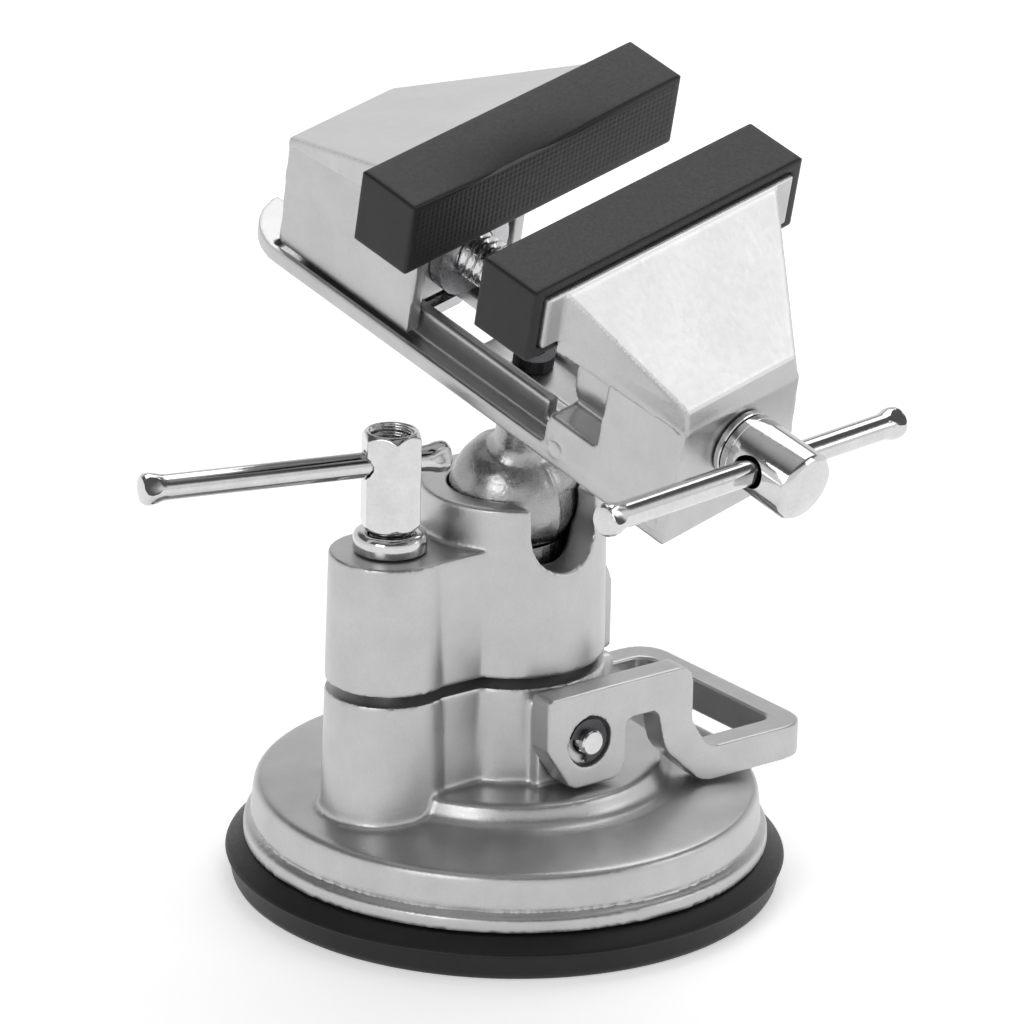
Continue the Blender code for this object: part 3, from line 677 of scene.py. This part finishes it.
def build_collar():
    low, high = LOBE_TOP + GAP, COLLAR_TOP
    profile = [
        (4.6, high), (6.0, high), (6.5, high - 0.15), (6.95, high - 0.55), (7.12, high - 1.0),
        (7.18, high - 1.2), (7.18, low + 0.45), (7.05, low + 0.15), (6.8, low), (4.6, low),
    ]
    collar = moved(lathe(profile, steps=96, closed=True), Matrix.Translation((STUD_X, 0, 0)))
    piece("collar", collar, AT_BASE, "clamp", "chrome", ["clamp_collar"], sharp=30)


def build_nut():
    low, high = COLLAR_TOP + 0.6 - NUT_BAR_Z, NUT_TOP - NUT_BAR_Z
    corner = NUT_ACROSS_FLATS / 2 / math.cos(math.radians(30))
    turn = math.radians(NUT_FACE_TURN + 30)  # a corner is 30 degrees round from a face's middle
    hexagon = [(corner * math.cos(a + turn), corner * math.sin(a + turn)) for a in HEX_ANGLES]
    crown = lathe(
        [
            (0, high), (4.6, high), (5.1, high - 0.12), (6.3, high - 1.5), (6.3, low + 1.3),
            (5.2, low + 0.1), (4.9, low), (0, low),
        ],
        steps=96,
    )
    bar_turn = math.radians(NUT_BAR_TURN)
    along = Vector((math.cos(bar_turn), math.sin(bar_turn), 0))
    nut = fuse(
        prism(hexagon, low, high),
        ("INTERSECT", [crown]),
        ("DIFFERENCE", [
            turned_up(thread(low - 4, high + 4, STUD_R - 0.1, STUD_R + 0.4, pitch=STUD_PITCH)),
            rod((0, 0, high - 0.7), (0, 0, high + 0.2), STUD_R, STUD_R + 0.7),
            rod(along * -15, along * 15, BAR_R + 0.35),
        ]),
    )
    nut = soften(nut, *NUT_SKIN)
    piece("long_nut", nut, AT_NUT, "nut", "chrome", ["clamp_nut"], sharp=60)


def bar_solid(length, flat_turns):
    """A round bar along X with both ends swaged wider and their sides pressed flat."""
    r = BAR_R
    first = [
        (0, 0.0), (r * 0.60, 0.02), (r * 1.02, 0.22), (r * 1.20, 0.75), (r * 1.26, 1.6), (r * 1.21, 2.8),
        (r * 1.06, 4.0), (r * 1.0, 5.4),
    ]
    profile = first + [(radius, length - along) for radius, along in reversed(first)]
    bar = lathe(profile, steps=48, along_x=True)
    cutters = []
    for start, turn in zip((-1.0, length - 4.6), flat_turns):
        for side in (-1, 1):
            low, high = sorted((side * (r + 0.05), side * 6))
            flat = box((start, -5, low), (start + 5.6, 5, high))
            cutters.append(moved(flat, Matrix.Rotation(math.radians(turn), 4, "X")))
    return bevelled(fuse(bar, ("DIFFERENCE", cutters)), 0.18, angle=28)


def along_matrix(start, end):
    """Takes a solid that lies on the X axis from 0 to the point start, pointing at the point end."""
    start, end = Vector(start), Vector(end)
    return Matrix.Translation(start) @ (end - start).to_track_quat("X", "Z").to_matrix().to_4x4()


def build_nut_bar():
    turn = math.radians(NUT_BAR_TURN)
    along = Vector((math.cos(turn), math.sin(turn), 0))
    low, high = NUT_BAR_SHIFT - NUT_BAR_LENGTH / 2, NUT_BAR_SHIFT + NUT_BAR_LENGTH / 2
    bar = moved(bar_solid(NUT_BAR_LENGTH, (60, 70)), along_matrix(along * low, along * high))
    piece("nut_handle", bar, AT_NUT, "nut_bar", "chrome", ["nut_bar"])


# ---------------------------------------------------------------- ball and head


def build_ball():
    top = BED_BOTTOM - 0.4
    seam = rod((0, -0.35, 0), (0, 0.35, 0), BALL_R + 0.16, sides=128)
    neck = [
        (0, top), (6.6, top), (6.4, top - 0.8), (5.5, top - 3.0), (NECK_R, top - 4.5), (NECK_R, 13.4),
        (NECK_R + 0.15, 12.6), (NECK_R + 0.6, 11.7), (NECK_R + 1.1, 11.0), (0, 9),
    ]
    stud = fuse(
        ball((0, 0, 0), BALL_R, rings=64),
        ("UNION", [seam, lathe(neck)]),
        ("DIFFERENCE", [rod((0, 0, 18), (0, 0, 35), 2.6)]),
    )
    stud = soften(stud, *BALL_SKIN)
    normals = [vert.normal.copy() for vert in stud.data.vertices]
    for vert, normal in zip(stud.data.vertices, normals):
        lumps = sum(noise.noise(vert.co * often) * height for often, height in BALL_LUMPS)
        vert.co += normal * lumps
    piece("ball_casting", stud, AT_HEAD, "ball", "ball_metal", ["ball_stud"])


def mark_milled(obj, edge, other_edge):
    """Gives the milled finish to the sloping plane through two (u, w) edges of a jaw."""
    obj.data.materials.append(MATERIALS["milled"])
    (u, w), (u2, w2) = edge, other_edge
    out = Vector((w - w2, 0, u2 - u)).normalized()
    out = out if out.z > 0 else -out
    for face in obj.data.polygons:
        centre = AT_HEAD.inverted() @ (face.center / MM)
        normal = HEAD_TURN.to_3x3().inverted() @ face.normal
        off_plane = (centre - Vector((u, 0, w))).dot(out)
        if abs(off_plane) < MILLED_DEPTH and normal.dot(out) > MILLED_FACING:
            face.material_index = 1


def build_bed():
    outline = rounded(
        [
            (BED_LEFT, -BED_HALF, 13), (BED_RIGHT, -BED_HALF, 1.0),
            (BED_RIGHT, BED_HALF, 1.0), (BED_LEFT, BED_HALF, 13),
        ],
        arc_steps=16,
    )
    plate_back = FIXED_FACE + PAD_DEPTH + GAP
    channels, rails = [], []
    for sign in (-1, 1):
        inner, outer = sorted((sign * RAIL_OUT, sign * CHANNEL_OUT))
        channels.append(box((CHANNEL_LEFT, inner, CHANNEL_BOTTOM), (PANEL_LEFT, outer, 36)))
        inner, outer = sorted((sign * RAIL_IN, sign * RAIL_OUT))
        rails.append(box((RAIL_START, inner, 30), (RAIL_END, outer, RAIL_TOP)))
    pin_marks = []
    for u, w in EJECTOR_MARKS:
        mark = lathe([(1.7, 0.25), (2.0, 0.25), (2.0, -0.6), (1.7, -0.6)], steps=32, closed=True)
        place = Matrix.Translation((u, -BED_HALF + 0.1, w)) @ Matrix.Rotation(math.radians(90), 4, "X")
        pin_marks.append(moved(mark, place))
    bed = fuse(
        prism(outline, BED_BOTTOM, BED_TOP),
        ("DIFFERENCE", channels),
        ("UNION", rails),
        ("DIFFERENCE", [
            box((-80, -FLOOR_SLOT_HALF, 25), (FLOOR_SLOT_END, FLOOR_SLOT_HALF, 40)),
            box((FLOOR_SLOT_END - 1, -FLOOR_SLOT_HALF, 31.5), (PANEL_LEFT - 0.5, FLOOR_SLOT_HALF, 40)),
        ]),
        ("UNION", [
            wedge([
                (PANEL_LEFT, PANEL_LEFT + 1, BED_HALF, SHOULDER_HALF, BED_BOTTOM, PANEL_TOP),
                (33, 33, BED_HALF, SHOULDER_HALF, BED_BOTTOM, PANEL_TOP),
            ]),
            wedge([
                (31.6, 31.6, BED_HALF, FIXED_TOP_HALF, BED_BOTTOM, 64.5),
                (BED_RIGHT, BED_RIGHT, BED_HALF, FIXED_TOP_HALF, BED_BOTTOM, 54.6),
            ]),
            rod((20.2, 0, SCREW_W), (40, 0, SCREW_W), SCREW_BOSS_R),
            box((23, -7, 46), (40, 7, PAD_BOTTOM - GAP)),
            wedge([
                (plate_back, plate_back, 28.2, 28.4, 65.3, JAW_TOP),
                (BED_RIGHT, PLATE_NOSE[0], 15.1, 14.5, 53.7, PLATE_NOSE[1]),
            ]),
            box(
                (FIXED_FACE + PLATE_STEP, -PLATE_HALF, PLATE_BOTTOM),
                (plate_back + 0.6, PLATE_HALF, JAW_TOP),
            ),
            *pin_marks,
        ]),
        ("DIFFERENCE", [
            rod((10, 0, SCREW_W), (60, 0, SCREW_W), SCREW_R + 0.4),
            rod((0, 0, 25), (0, 0, 33), 2.9),
        ]),
    )
    bed = soften(bed, *HEAD_SKIN)
    bed = piece("bed_casting", bed, AT_HEAD, "bed", "cast_metal", ["vise_bed"])
    mark_milled(bed, (plate_back, JAW_TOP), PLATE_NOSE)


def build_jaw():
    back = MOVING_FACE - PAD_DEPTH - GAP
    tongue_half = FLOOR_SLOT_HALF - GAP
    jaw = fuse(
        wedge([
            (-55.3, -56.8, JAW_HALF_BOTTOM, JAW_HALF_TOP, BED_TOP + GAP, 55.2),
            (back - 1.2, back - 1.2, JAW_HALF_BOTTOM, JAW_HALF_TOP, BED_TOP + GAP, 72.5),
        ]),
        ("UNION", [
            wedge([
                (-56.8, JAW_NOSE[0], JAW_HALF_TOP, 13.9, 54.6, JAW_NOSE[1]),
                (back, back, 29.0, 29.4, 71.6, JAW_TOP),
            ]),
            box((back - 0.6, -PLATE_HALF, PLATE_BOTTOM), (MOVING_FACE - PLATE_STEP, PLATE_HALF, JAW_TOP)),
        ]),
        ("DIFFERENCE", [
            box((-21.5, -11.7, 25), (-12, 11.7, 64.5)),
            box((-70, -RAIL_OUT - 0.4, 25), (-10, RAIL_OUT + 0.4, RAIL_TOP + GAP)),
            box((-53.5, -11, 39), (-25, 11, 53)),
            rod((-70, 0, SCREW_W), (-30, 0, SCREW_W), SCREW_R + 0.9),
            rod((-30, 0, SCREW_W), (-15, 0, SCREW_W), 7.0),
        ]),
        ("UNION", [box((-48, -tongue_half, BED_BOTTOM), (-28, tongue_half, 38))]),
        ("DIFFERENCE", [rod((u, 0, 25), (u, 0, 35), KEEPER_HOLE_R) for u in KEEPER_SCREWS]),
    )
    jaw = soften(jaw, *HEAD_SKIN)
    jaw = piece("jaw_casting", jaw, AT_HEAD, "jaw", "cast_metal", ["moving_jaw"])
    mark_milled(jaw, (back, JAW_TOP), JAW_NOSE)


def grip_panel(face, inward):
    """A thin plate of small raised dots, set into a pad's gripping face."""
    spacing, pitch, lift = 0.3, 1.2, 0.16
    thickness, proud, dot_edge = 0.8, 0.04, 0.25
    half, low, high = PAD_HALF - 1.6, PAD_BOTTOM + 1.5, PAD_TOP - 1.5
    across = round(2 * half / spacing)
    up = round((high - low) / spacing)
    bm = bmesh.new()
    layers = []
    for depth in (0.0, thickness):
        rows = []
        for j in range(up + 1):
            row = []
            for i in range(across + 1):
                v, w = -half + 2 * half * i / across, low + (high - low) * j / up
                dot = math.cos(math.pi * v / pitch) * math.cos(math.pi * w / pitch)
                edge = i in (0, across) or j in (0, up)
                out = 0.0 if depth or edge else lift * max(0.0, dot * dot - dot_edge)
                row.append(bm.verts.new((face + inward * (depth - proud - out), v, w)))
            rows.append(row)
        layers.append(rows)
    for rows in layers:
        for j in range(up):
            for i in range(across):
                bm.faces.new((rows[j][i], rows[j][i + 1], rows[j + 1][i + 1], rows[j + 1][i]))
    front, rear = layers
    border = [(0, i) for i in range(across)] + [(j, across) for j in range(up)]
    border += [(up, i) for i in range(across, 0, -1)] + [(j, 0) for j in range(up, 0, -1)]
    for (j, i), (j2, i2) in zip(border, border[1:] + border[:1]):
        bm.faces.new((front[j][i], front[j2][i2], rear[j2][i2], rear[j][i]))
    return from_bmesh(bm)


def sag_top_edge(pad, face, sag):
    """Lowers the top edge over the grip, most of all a little to the near side of its middle."""
    reach, height = 0.75 * PAD_DEPTH, 5.0
    lowest, spread = -8.0, 19.0
    for vert in pad.data.vertices:
        u, v, w = vert.co
        over_grip = max(0.0, 1.0 - abs(u - face) / reach)
        near_top = max(0.0, (w - (PAD_TOP - height)) / height)
        middle = math.exp(-(((v - lowest) / spread) ** 2))
        vert.co.z -= sag * over_grip * over_grip * near_top * middle


def build_pad(name, node, face, back, body, sag=0.0):
    inward = math.copysign(1, back - face)
    low, high = sorted((face, back))
    pocket_low, pocket_high = sorted((face + 3.1 * inward, back + 5 * inward))
    pad = fuse(
        box((low, -PAD_HALF, PAD_BOTTOM), (high, PAD_HALF, PAD_TOP)),
        ("DIFFERENCE", [
            box(
                (pocket_low, -PLATE_HALF - GAP, PLATE_BOTTOM - GAP),
                (pocket_high, PLATE_HALF + GAP, JAW_TOP + GAP),
            ),
        ]),
    )
    pad = soften(pad, *HEAD_SKIN)
    if sag:
        sag_top_edge(pad, face, sag)
    pad = merge(pad, grip_panel(face, inward))
    piece(name, pad, AT_HEAD, body, "black_rubber", [node], sharp=50)


def build_lead_screw():
    across = screw_bar_direction() * 15
    middle = Vector((SCREW_BAR_U, 0, 0))
    e, s, r = SCREW_HEAD_END, SCREW_HEAD_START, SCREW_HEAD_R
    head = lathe(
        [
            (0, e), (r - 1.0, e), (r - 0.75, e - 0.1), (r - 0.1, e - 0.85), (r, e - 1.1), (r, s + 2.0),
            (r - 0.12, s + 1.9), (r - 0.12, s + 1.6), (r, s + 1.5), (r, s + 0.3), (r - 0.25, s),
            (SCREW_R - 0.1, s), (SCREW_R - 0.1, 17.0), (SCREW_R - 0.1, 19.8), (4.2, 19.8), (4.2, 17.8),
            (SCREW_R - 0.3, 17.8), (SCREW_R - 0.6, 14.0), (0, 14.0),
        ],
        steps=96,
        along_x=True,
    )
    near, far = middle - across.normalized() * 7.2, middle + across.normalized() * 7.2
    out = across.normalized() * 2.0
    screw = fuse(
        head,
        ("UNION", [thread(SCREW_LEFT, 16.0, SCREW_R - 0.75, SCREW_R - 0.02)]),
        ("DIFFERENCE", [
            rod(middle - across, middle + across, BAR_R + 0.35, sides=48),
            rod(near + out, near, BAR_R + 0.2, BAR_R + 1.1, sides=48),
            rod(far - out, far, BAR_R + 0.2, BAR_R + 1.1, sides=48),
        ]),
    )
    piece("threaded_screw", screw, AT_SCREW, "screw", "chrome", ["lead_screw"], sharp=32)


def screw_bar_direction():
    turn = math.radians(SCREW_BAR_TURN)
    return Vector((0, math.cos(turn), -math.sin(turn)))


def build_screw_bar():
    middle = Vector((SCREW_BAR_U, 0, 0))
    along = screw_bar_direction()
    near, far = middle - along * SCREW_BAR_NEAR, middle + along * SCREW_BAR_FAR
    length = SCREW_BAR_NEAR + SCREW_BAR_FAR
    bar = moved(bar_solid(length, (40, 30)), along_matrix(near, far))
    piece("screw_handle", bar, AT_SCREW, "screw_bar", "chrome", ["screw_bar"])


def build_washer():
    low, high = BED_RIGHT + GAP, BED_RIGHT + 1.6
    profile = [
        (SCREW_R + 0.4, high), (WASHER_R - 0.2, high), (WASHER_R, high - 0.2), (WASHER_R, low + 0.2),
        (WASHER_R - 0.2, low),
        (SCREW_R + 0.4, low),
    ]
    washer = lathe(profile, steps=72, closed=True, along_x=True)
    piece("thrust_washer", washer, AT_SCREW, "bed", "chrome", ["screw_washer"])


def build_keeper():
    corner_r = 2.5
    outline = rounded(
        [
            (KEEPER_LEFT, -KEEPER_HALF, corner_r), (KEEPER_RIGHT, -KEEPER_HALF, corner_r),
            (KEEPER_RIGHT, KEEPER_HALF, corner_r), (KEEPER_LEFT, KEEPER_HALF, corner_r),
        ]
    )
    holes = [rod((u, 0, 20), (u, 0, 35), KEEPER_HOLE_R, sides=32) for u in KEEPER_SCREWS]
    plate = fuse(prism(outline, KEEPER_BOTTOM, BED_BOTTOM - 0.4), ("DIFFERENCE", holes))
    plate = bevelled(plate, 0.3)
    piece("slide_keeper", plate, AT_HEAD, "jaw", "steel", ["keeper_plate"])


# ---------------------------------------------------------------- the picture


def finish_cad_nodes():
    """The CAD nodes that no piece replaces take the same finishes as the pieces."""
    for name, slot in KEPT_NODES.items():
        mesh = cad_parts[name].data
        mesh.materials.clear()
        mesh.materials.append(MATERIALS[slot])


def make_camera():
    data = bpy.data.cameras.new("camera")
    data.sensor_width = SENSOR_WIDTH
    data.lens = CAMERA_LENS
    camera = link("camera", data)
    axes = Matrix((CAMERA_RIGHT, CAMERA_UP, CAMERA_BACK)).transposed()
    camera.matrix_world = Matrix.Translation(CAMERA_PLACE) @ axes.to_4x4()
    bpy.context.scene.camera = camera


def make_lamp(name, place, energy, size):
    data = bpy.data.lights.new(name, "AREA")
    data.shape = "SQUARE"
    data.size = size
    data.energy = energy
    lamp = link(name, data)
    lamp.location = place
    lamp.rotation_euler = (Vector(LAMP_TARGET) - lamp.location).to_track_quat("-Z", "Y").to_euler()


def make_floor():
    bm = bmesh.new()
    bmesh.ops.create_circle(bm, cap_ends=True, segments=96, radius=FLOOR_R)
    mesh = bpy.data.meshes.new("floor")
    bm.to_mesh(mesh)
    bm.free()
    floor = link("floor", mesh)
    material = bpy.data.materials.new("floor")
    material.use_nodes = True
    shader = material.node_tree.nodes["Principled BSDF"]
    shader.inputs["Base Color"].default_value = (FLOOR_GREY, FLOOR_GREY, FLOOR_GREY, 1)
    shader.inputs["Roughness"].default_value = FLOOR_ROUGHNESS
    shader.inputs["Emission Color"].default_value = (1, 1, 1, 1)
    shader.inputs["Emission Strength"].default_value = FLOOR_GLOW
    mesh.materials.append(material)


def make_world():
    """A pale room with one dark band high up, for bright metal to reflect."""
    world = bpy.data.worlds.new("room")
    bpy.context.scene.world = world
    world.use_nodes = True
    tree = world.node_tree
    place = tree.nodes.new("ShaderNodeTexCoord").outputs["Generated"]
    split = tree.nodes.new("ShaderNodeSeparateXYZ")
    tree.links.new(place, split.inputs["Vector"])
    ramp = tree.nodes.new("ShaderNodeValToRGB")
    tree.links.new(split.outputs["Z"], ramp.inputs["Fac"])
    elements = ramp.color_ramp.elements
    for height, _ in ROOM_GREYS[1:-1]:
        elements.new(height)
    for element, (height, grey) in zip(elements, ROOM_GREYS):
        element.position = height
        element.color = (grey, grey, grey, 1)
    background = tree.nodes["Background"]
    tree.links.new(ramp.outputs["Color"], background.inputs["Color"])
    background.inputs["Strength"].default_value = ROOM_STRENGTH


MATERIALS = make_materials()
build_cup()
build_housing()
build_lever()
build_pin()
build_clamp()
build_stud()
build_collar()
build_nut()
build_nut_bar()
build_ball()
build_bed()
build_jaw()
build_pad("fixed_pad_cap", "fixed_jaw_pad", FIXED_FACE, FIXED_FACE + PAD_DEPTH, "bed")
build_pad("moving_pad_cap", "moving_jaw_pad", MOVING_FACE, MOVING_FACE - PAD_DEPTH, "jaw", 1.8)
build_lead_screw()
build_screw_bar()
build_washer()
build_keeper()
finish_cad_nodes()
make_camera()
make_floor()
make_world()
for facts in LAMPS:
    make_lamp(*facts)
bpy.context.scene.view_settings.view_transform = "Standard"
